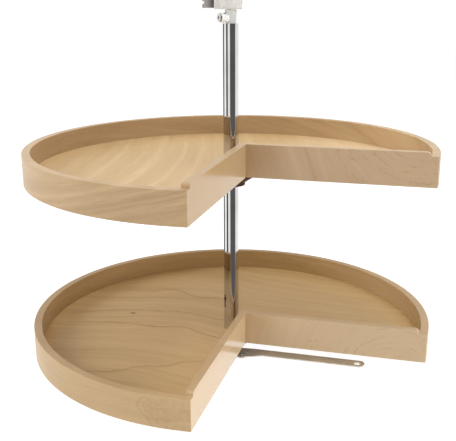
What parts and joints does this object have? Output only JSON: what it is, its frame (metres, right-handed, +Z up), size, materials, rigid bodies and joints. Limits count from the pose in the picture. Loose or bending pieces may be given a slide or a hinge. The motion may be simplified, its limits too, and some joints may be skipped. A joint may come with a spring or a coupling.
{
  "type": "corner carousel",
  "caption": "Corner cabinet carousel: two round wooden trays with an open quarter on a telescoping chromed pole, with base bearing, index arm and top bracket.",
  "frame": {"origin": "on the pole axis, at the underside of the base disc, which stands on the cabinet floor", "axes": "+Z up along the pole; the open quarter of the trays faces +X and -Y; the arm points towards +X"},
  "size_m": [0.7111, 0.7111, 0.6649],
  "materials": {
    "birch_floor": "satin",
    "birch_rim": "satin",
    "birch_wall": "satin",
    "chrome": "polished",
    "bright_steel": "polished",
    "zinc_steel": "satin",
    "bracket_steel": "satin",
    "base_zinc": "satin",
    "brown_plastic": "satin",
    "white_plastic": "satin",
    "grey_nylon": "satin",
    "bearing_steel": "polished",
    "bronze": "satin"
  },
  "bodies": {
    "base": {"base_foot": "base_zinc", "base_spindle": "bright_steel", "lower_race": "bearing_steel", "arm_retaining_ring": "zinc_steel", "arm_clamp_screw": "bright_steel"},
    "arm": {"index_arm": "zinc_steel"},
    "ball_ring": {"ball_cage": "bronze", "bearing_balls": "bearing_steel"},
    "carousel": {"pole_tube": "chrome", "pole_foot": "grey_nylon", "upper_race": "bearing_steel", "stem_guide": "white_plastic", "stem_clamp_screw": "chrome", "stem_clamp_nut": "zinc_steel", "lower_tray_floor": "birch_floor", "lower_tray_rim": "birch_rim", "lower_left_wall": "birch_wall", "lower_right_wall": "birch_wall", "lower_tray_nails": "zinc_steel", "lower_hub": "brown_plastic", "lower_hub_screws": "zinc_steel", "lower_hub_lock_screw": "zinc_steel"},
    "upper_tray": {"upper_tray_floor": "birch_floor", "upper_tray_rim": "birch_rim", "upper_left_wall": "birch_wall", "upper_right_wall": "birch_wall", "upper_tray_nails": "zinc_steel", "upper_hub": "brown_plastic", "upper_hub_screws": "zinc_steel", "upper_hub_lock_screw": "zinc_steel"},
    "stem": {"stem_rod": "bright_steel", "stem_stop_clip": "zinc_steel", "stem_collar": "zinc_steel", "thrust_washer": "bronze", "stem_top_clip": "zinc_steel"},
    "top_mount": {"top_housing": "white_plastic", "top_bush": "grey_nylon", "housing_cap": "white_plastic", "top_bracket": "bracket_steel", "bracket_screws": "zinc_steel"}
  },
  "joints": [
    {"name": "arm_swing", "type": "hinge", "parent": "base", "child": "arm", "pos_m": [0, 0, 0.0064], "axis": [0, 0, 1], "range_deg": [-6, 6]},
    {"name": "carousel_spin", "type": "hinge", "parent": "base", "child": "carousel", "pos_m": [0, 0, 0.01265], "axis": [0, 0, 1], "continuous": true},
    {"name": "ball_orbit", "type": "hinge", "parent": "base", "child": "ball_ring", "pos_m": [0, 0, 0.01265], "axis": [0, 0, 1], "continuous": true},
    {"name": "upper_tray_height", "type": "slide", "parent": "carousel", "child": "upper_tray", "axis": [0, 0, 1], "range_m": [-0.12, 0.14]},
    {"name": "stem_lift", "type": "slide", "parent": "carousel", "child": "stem", "axis": [0, 0, 1], "range_m": [0, 0.14]},
    {"name": "top_swivel", "type": "hinge", "parent": "stem", "child": "top_mount", "pos_m": [0, 0, 0.6349], "axis": [0, 0, 1], "continuous": true}
  ],
  "couplings": [
    {"joint": "ball_orbit", "follows": "carousel_spin", "ratio": 0.5},
    {"joint": "top_swivel", "follows": "carousel_spin", "ratio": -1}
  ]
}
